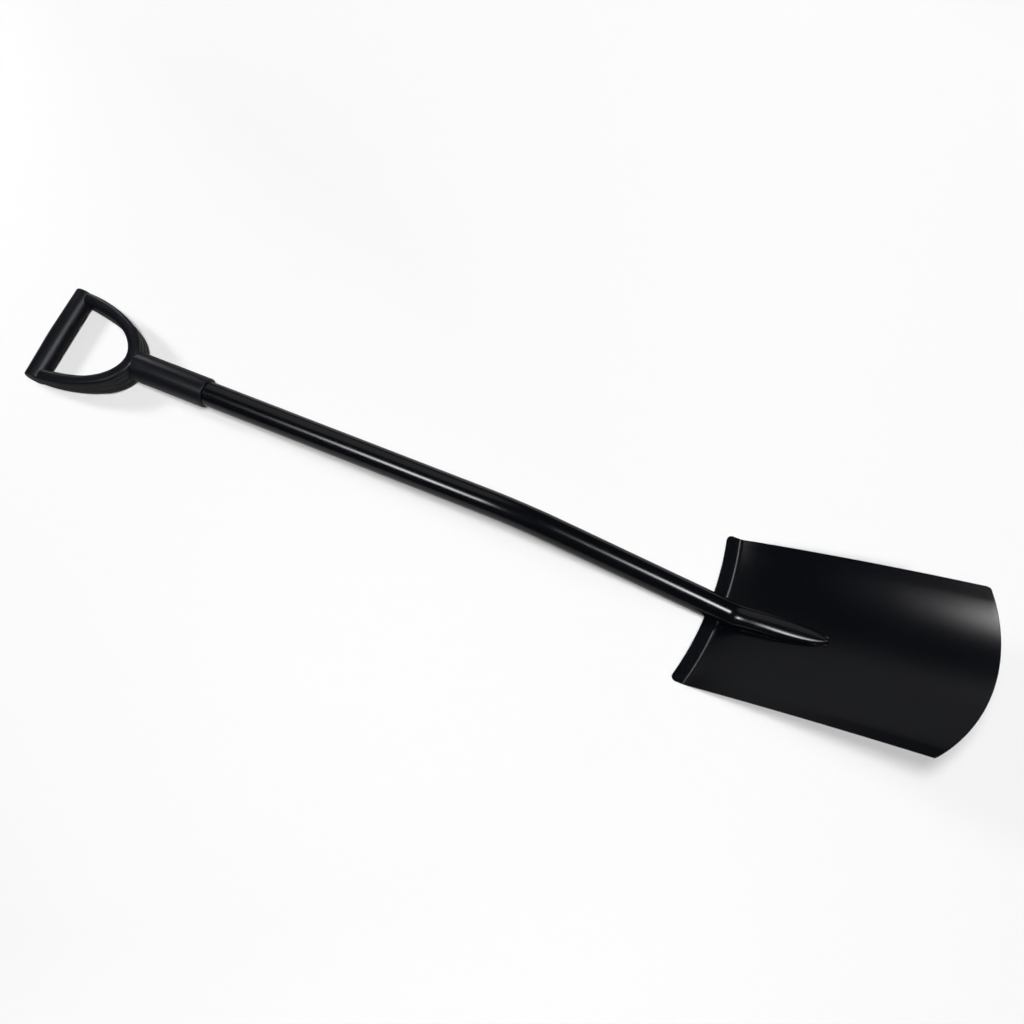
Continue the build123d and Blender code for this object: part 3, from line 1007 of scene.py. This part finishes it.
class SPADE_OT_welds(bpy.types.Operator):
    """Lay the rippled welds along the toe, at its tip and at the crease"""

    bl_idname = "spade.welds"
    bl_label = "Welds"

    # Middle of the crease weld beside the tube, from the tread to the blade, in millimetres.
    crease_line = ((-6.0, 9.4, 5.6), (-2.5, 9.7, 3.6), (1.5, 10.4, 2.6), (5.5, 11.4, 2.2))
    # Shares of the toe's length between which its beads run, and the rings of each bead.
    bead_from, bead_run, bead_rings = 0.10, 0.83, 140
    # Width of a bead's blunt ends as a share of its own.
    blunt = 0.4
    # Crater of a tip dab: its width and depth as shares of the dab's radius.
    crater_width, crater_depth = 0.42, 0.16

    def execute(self, context):
        weld = context.scene.spade_weld
        finish = context.scene.spade_finish
        coat = powder_coat(
            "weld_coat", finish.tube_colour, roughness=0.2, grain=600.0, grain_height=0.00005
        )
        for side, hand in ((1, "left"), (-1, "right")):
            shares = [
                self.bead_from + self.bead_run * i / self.bead_rings
                for i in range(self.bead_rings + 1)
            ]
            path = [self.flank(weld, side, share) for share in shares]
            self.bead(f"toe_bead_{hand}", path, weld.bead_radius, weld, coat, f"toe_weld_{hand}")
            rows = [(x / 1000, side * y / 1000, z / 1000) for x, y, z in self.crease_line]
            path = [Vector(row) for row in smooth_line(rows, 12)]
            self.bead(
                f"crease_bead_{hand}", path, weld.tread_radius, weld, coat, f"tread_weld_{hand}"
            )
        self.tip_dabs(weld, coat)
        return {"FINISHED"}

    def flank(self, weld, side, share):
        """A point of the bead's middle beside the toe."""
        along = toe_section(share)[1].x
        return Vector((along, side * weld.bead_reach * toe_half_width(share), weld.bead_radius / 2))

    def bead(self, name, path, radius, weld, coat, node):
        """A ring drawn along the path, swelling at each ripple and rounded at its ends."""
        piece = add_shape(
            name,
            bpy.ops.mesh.primitive_circle_add,
            vertices=20,
            radius=self.blunt * radius,
            location=path[0],
            rotation=(0, math.radians(90), 0),
        )
        bpy.ops.mesh.select_all(action="SELECT")
        spot, wide, run = path[0], self.blunt, 0.0
        whole = sum((b - a).length for a, b in zip(path, path[1:]))
        for centre in path[1:]:
            run += (centre - spot).length
            phase = run / weld.bead_pitch
            swell = 1 - weld.ripple * (phase - math.floor(phase))
            end = min(1.0, min(run, whole - run) / radius)
            rounding = math.sqrt(1 - (1 - end) ** 2)
            next_wide = swell * (self.blunt + (1 - self.blunt) * rounding)
            bpy.ops.mesh.extrude_edges_move(TRANSFORM_OT_translate={"value": centre - spot})
            grow = next_wide / wide
            bpy.ops.transform.resize(value=(1, grow, grow), center_override=centre)
            spot, wide = centre, next_wide
        bpy.ops.mesh.edge_face_add()
        pick(piece, "edges", lambda e: len(e.link_faces) == 1)
        bpy.ops.mesh.edge_face_add()
        face_out()
        self.settle(piece, coat, node)

    def tip_dabs(self, weld, coat):
        """Two cratered dabs at the corners of the toe's tip."""
        shaft = sizes()[0]
        radius = weld.dab_radius
        across = toe_half_width(1) + radius / 4
        piece = add_shape(
            "toe_tip_dabs",
            bpy.ops.mesh.primitive_uv_sphere_add,
            segments=40,
            ring_count=24,
            radius=radius,
            location=(shaft.toe_length, across, 0.0002),
        )
        centre = Vector((shaft.toe_length, across, 0))
        crater = self.crater_width * radius
        pick(piece, "verts", lambda v: v.co.z > 0 and (v.co - centre).xy.length < crater)
        bpy.ops.transform.translate(value=(0, 0, -self.crater_depth * radius))
        bpy.ops.mesh.select_all(action="SELECT")
        bpy.ops.mesh.bisect(
            plane_co=(0, 0, -0.0008),
            plane_no=(0, 0, -1),
            clear_outer=True,
            use_fill=True,
            threshold=1e-6,
        )
        apply_modifier(piece, "MIRROR", use_axis=(False, True, False))
        bpy.ops.object.mode_set(mode="EDIT")
        face_out()
        self.settle(piece, coat, "toe_tip_welds")

    def settle(self, piece, coat, node):
        """Smooths a weld and lays it where the tool lies."""
        only(piece)
        bpy.ops.object.shade_smooth_by_angle(angle=math.radians(60))
        lay_on_blade(piece)
        finish_piece(piece, "weld_coat", coat, node)


class SPADE_OT_stage(bpy.types.Operator):
    """Lay the pale floor, and set the lamps and the camera"""

    bl_idname = "spade.stage"
    bl_label = "Stage"

    # Oval of painted shade on the floor, fitted so that the lit floor looks even: the mapping of
    # its gradient, its tone at the middle, and its tone at a share of the way in from its rim.
    oval_shift = (0.5497, 0.1281, 0)
    oval_scale = (0.2108, 0.7407, 1)
    oval_middle = 0.657
    oval_inner = (0.4, 0.758)
    # Level of the floor in glossy surfaces: below the grip's loop, and from its sleeve on.
    reflected = {"From Min": -0.48, "From Max": -0.4, "To Min": 0.12, "To Max": 0.32}

    # Aims of the panels, and the pieces that some of them show in.
    crease, hand = (0.3, 0.04, 0), (-0.5, 0, 0)
    blade, grip = ("blade_sheet",), ("grip_moulding",)
    metal = (
        "blade_sheet",
        "shaft",
        "toe_bead_left",
        "toe_bead_right",
        "crease_bead_left",
        "crease_bead_right",
        "toe_tip_dabs",
    )
    # Soft panels: place, aim, half sides, radiance, fill, and the pieces that show them, or all.
    panels = {
        "left_box": ((-1.05, -1.0, 2.3), (-1.05, -1.0, 0), (0.65, 0.75), 33.0, 1.0, metal),
        "right_box": ((1.25, 0.0, 2.3), (1.25, 0.0, 0), (0.6, 0.7), 40.0, 1.0, ()),
        "back_box": ((-1.45, 2.0, 1.7), (0.4, 0, 0), (1.8, 1.9), 0.36, 6.0, metal),
        "crease_box": ((-0.8, 0.93, 2.65), crease, (0.3, 0.35), 32.0, 1.0, blade),
        "low_box": ((-1.7, 0.5, 0.85), crease, (0.3, 0.25), 7.0, 1.0, blade),
        "sleeve_box": ((-1.1, -1.05, 2.5), (-1.1, -1.05, 0), (0.7, 0.8), 13.0, 1.0, grip),
        "arm_box": ((-1.95, 1.55, 0.8), hand, (0.45, 0.45), 22.0, 1.0, grip),
        "bar_box": ((0.5, 0.6, 2.25), hand, (0.75, 0.7), 10.0, 1.0, grip),
    }
    world_colour = (0.02, 0.02, 0.021, 1)

    # The camera of the photograph: place in metres, turn in degrees, lens and sensor in mm.
    camera_place = (0.24727763, -0.34551727, 1.25987828)
    camera_turn = (18.18345772, 1.70438848, 24.03783109)
    camera_lens = 39.81925
    camera_sensor = 36.0

    def execute(self, context):
        scene = context.scene
        self.lay_floor(scene)
        self.hang_backdrop(scene)
        self.light(scene)
        self.aim(scene)
        scene.view_settings.view_transform = "Standard"
        return {"FINISHED"}

    def lay_floor(self, scene):
        """Pale paper that keeps the shadows, with an oval of painted shade that evens out the
        lamps' light on it.
        """
        floor = add_shape(
            "floor", bpy.ops.mesh.primitive_plane_add, size=scene.spade_stage.floor_size
        )
        only(floor)
        finish = Finish("floor_paper")
        oval = finish.node("ShaderNodeMapping")
        oval.inputs["Location"].default_value = self.oval_shift
        oval.inputs["Scale"].default_value = self.oval_scale
        glow = finish.node("ShaderNodeTexGradient", gradient_type="SPHERICAL")
        finish.link(finish.place, "Object", oval, "Vector")
        finish.link(oval, "Vector", glow, "Vector")
        tone = scene.spade_finish.floor_colour
        # The ramp paints shade into the floor's colour, deepest at the oval's middle, to even out
        # the lamps' light.
        ramp = finish.ramp(glow, 0.0, 1.0, tone, shade(tone, self.oval_middle), "Base Color")
        share, inner = self.oval_inner
        ramp.elements.new(share).color = (*shade(tone, inner), 1)
        finish.shader.inputs["Roughness"].default_value = 0.9
        finish.shader.inputs["Specular IOR Level"].default_value = 0.0
        self.dim_reflection(finish)
        floor.data.materials.append(finish.material)

    def dim_reflection(self, finish):
        """The floor looks darker in glossy surfaces than to the eye."""
        dim = finish.node("ShaderNodeBsdfDiffuse")
        along = finish.node("ShaderNodeSeparateXYZ")
        level = finish.node("ShaderNodeMapRange")
        for socket, value in self.reflected.items():
            level.inputs[socket].default_value = value
        finish.link(finish.place, "Object", along, "Vector")
        finish.link(along, "X", level, "Value")
        finish.link(level, "Result", dim, "Color")
        path = finish.node("ShaderNodeLightPath")
        mix = finish.node("ShaderNodeMixShader")
        finish.link(path, "Is Glossy Ray", mix, 0)
        finish.link(finish.shader, 0, mix, 1)
        finish.link(dim, 0, mix, 2)
        finish.link(mix, 0, finish.output, "Surface")

    def hang_backdrop(self, scene):
        """A glowing dome, paler upwards, that neither lights the tool nor shows in it; its darker
        band at the horizon is painted shade that matches the far floor.
        """
        stage = scene.spade_stage
        dome = add_shape(
            "backdrop",
            bpy.ops.mesh.primitive_uv_sphere_add,
            segments=48,
            ring_count=24,
            radius=stage.backdrop_radius,
        )
        only(dome)
        dome.visible_diffuse = False
        dome.visible_glossy = False
        dome.visible_transmission = False
        dome.visible_shadow = False
        finish = Finish("backdrop_paper")
        shine = finish.node("ShaderNodeEmission")
        up = finish.node("ShaderNodeSeparateXYZ")
        pale = finish.node("ShaderNodeMapRange")
        pale.inputs["From Max"].default_value = stage.backdrop_fade
        # Painted shade: the dome's glow darkens towards the horizon to match the far floor's
        # fall-off of lamp light.
        pale.inputs["To Min"].default_value = stage.horizon_shade
        pale.inputs["To Max"].default_value = scene.spade_finish.floor_colour[0]
        finish.link(finish.place, "Object", up, "Vector")
        finish.link(up, "Z", pale, "Value")
        finish.link(pale, "Result", shine, "Color")
        finish.link(shine, 0, finish.output, "Surface")
        finish.tree.nodes.remove(finish.shader)
        dome.data.materials.append(finish.material)

    def softbox(self, name, place, aim, reach, radiance, fill, pieces):
        """A soft-edged panel that shows in glossy surfaces only, of some pieces or of all."""
        panel = add_shape(name, bpy.ops.mesh.primitive_plane_add, size=2)
        only(panel)
        panel.location = place
        panel.scale = (*reach, 1)
        panel.rotation_euler = (Vector(aim) - Vector(place)).to_track_quat("Z", "Y").to_euler()
        panel.visible_camera = False
        panel.visible_diffuse = False
        panel.visible_shadow = False
        finish = Finish(name)
        glow = finish.node("ShaderNodeTexGradient", gradient_type="QUADRATIC_SPHERE")
        full = finish.node("ShaderNodeMath", operation="MULTIPLY", use_clamp=True)
        full.inputs[1].default_value = fill
        level = finish.node("ShaderNodeMath", operation="MULTIPLY")
        level.inputs[1].default_value = radiance
        shine = finish.node("ShaderNodeEmission")
        finish.link(finish.place, "Object", glow, "Vector")
        finish.link(glow, "Fac", full, 0)
        finish.link(full, 0, level, 0)
        finish.link(level, 0, shine, "Strength")
        clear = finish.node("ShaderNodeBsdfTransparent")
        both = finish.node("ShaderNodeAddShader")
        finish.link(shine, 0, both, 0)
        finish.link(clear, 0, both, 1)
        finish.link(both, 0, finish.output, "Surface")
        finish.tree.nodes.remove(finish.shader)
        panel.data.materials.append(finish.material)
        if pieces:
            group = bpy.data.collections.new(name)
            for piece in pieces:
                group.objects.link(bpy.data.objects[piece])
            panel.light_linking.receiver_collection = group

    def lamp(self, name, kind, energy):
        """A lamp that lights surfaces and casts shadows, but doesn't show in glossy ones."""
        bpy.ops.object.select_all(action="DESELECT")
        bpy.ops.object.light_add(type=kind)
        lamp = bpy.context.object
        lamp.name = name
        lamp.data.energy = energy
        lamp.visible_glossy = False
        return lamp

    def near_light(self, name, place, aim, size, energy):
        """A square lamp near the tool."""
        lamp = self.lamp(name, "AREA", energy)
        lamp.data.size = size
        lamp.location = place
        lamp.rotation_euler = (Vector(aim) - Vector(place)).to_track_quat("-Z", "Y").to_euler()

    def far_light(self, name, toward, energy, spread):
        """An even light from one direction."""
        lamp = self.lamp(name, "SUN", energy)
        lamp.data.angle = math.radians(spread)
        lamp.rotation_euler = Vector(toward).to_track_quat("Z", "Y").to_euler()

    def light(self, scene):
        """Lamps for the floor and its shadows, and panels for the gloss."""
        self.near_light("key_light", (0.18, -0.24, 1.7), (0.18, -0.24, 0), 0.22, 16.8)
        self.near_light("left_light", (-1.7, 0.06, 0.95), (-0.5, 0, 0), 0.3, 11.5)
        self.far_light("fill_light", (0.35, -0.27, 1.0), 2.24, 6)
        for name, values in self.panels.items():
            self.softbox(name, *values)
        world = bpy.data.worlds.new("studio")
        world.use_nodes = True
        world.node_tree.nodes["Background"].inputs["Color"].default_value = self.world_colour
        scene.world = world

    def aim(self, scene):
        """Sets the camera at the photograph's viewing angle."""
        bpy.ops.object.camera_add(
            location=self.camera_place, rotation=[math.radians(turn) for turn in self.camera_turn]
        )
        camera = bpy.context.object
        camera.name = "camera"
        camera.data.sensor_width = self.camera_sensor
        camera.data.lens = self.camera_lens
        camera.data.clip_start = 0.01
        camera.data.clip_end = 50.0
        scene.camera = camera


class SPADE_PT_tools(bpy.types.Panel):
    """The spade's settings, and its pieces in the order they are made"""

    bl_label = "Garden Spade"
    bl_idname = "SPADE_PT_tools"
    bl_space_type = "VIEW_3D"
    bl_region_type = "UI"
    bl_category = "Spade"

    def draw(self, context):
        for name, group in SETTINGS.items():
            box = self.layout.box()
            for setting in group.__annotations__:
                box.prop(getattr(context.scene, name), setting)
        for step in STEPS:
            self.layout.operator(step.bl_idname)


SETTINGS = {
    "spade_shaft": SpadeShaftSizes,
    "spade_blade": SpadeBladeSizes,
    "spade_weld": SpadeWeldSizes,
    "spade_grip": SpadeGripSizes,
    "spade_finish": SpadeFinish,
    "spade_stage": SpadeStageSizes,
}
STEPS = (
    SPADE_OT_shaft,
    SPADE_OT_blade,
    SPADE_OT_welds,
    SPADE_OT_grip,
    SPADE_OT_grip_screw,
    SPADE_OT_stage,
)


def register():
    for group in SETTINGS.values():
        bpy.utils.register_class(group)
    for name, group in SETTINGS.items():
        setattr(bpy.types.Scene, name, PointerProperty(type=group))
    for step in STEPS:
        bpy.utils.register_class(step)
    bpy.utils.register_class(SPADE_PT_tools)


def unregister():
    bpy.utils.unregister_class(SPADE_PT_tools)
    for step in reversed(STEPS):
        bpy.utils.unregister_class(step)
    for name in SETTINGS:
        delattr(bpy.types.Scene, name)
    for group in SETTINGS.values():
        bpy.utils.unregister_class(group)


def main():
    register()
    bpy.ops.spade.shaft()
    bpy.ops.spade.blade()
    bpy.ops.spade.welds()
    bpy.ops.spade.grip()
    bpy.ops.spade.grip_screw()
    bpy.ops.spade.stage()


if __name__ == "__main__":
    main()
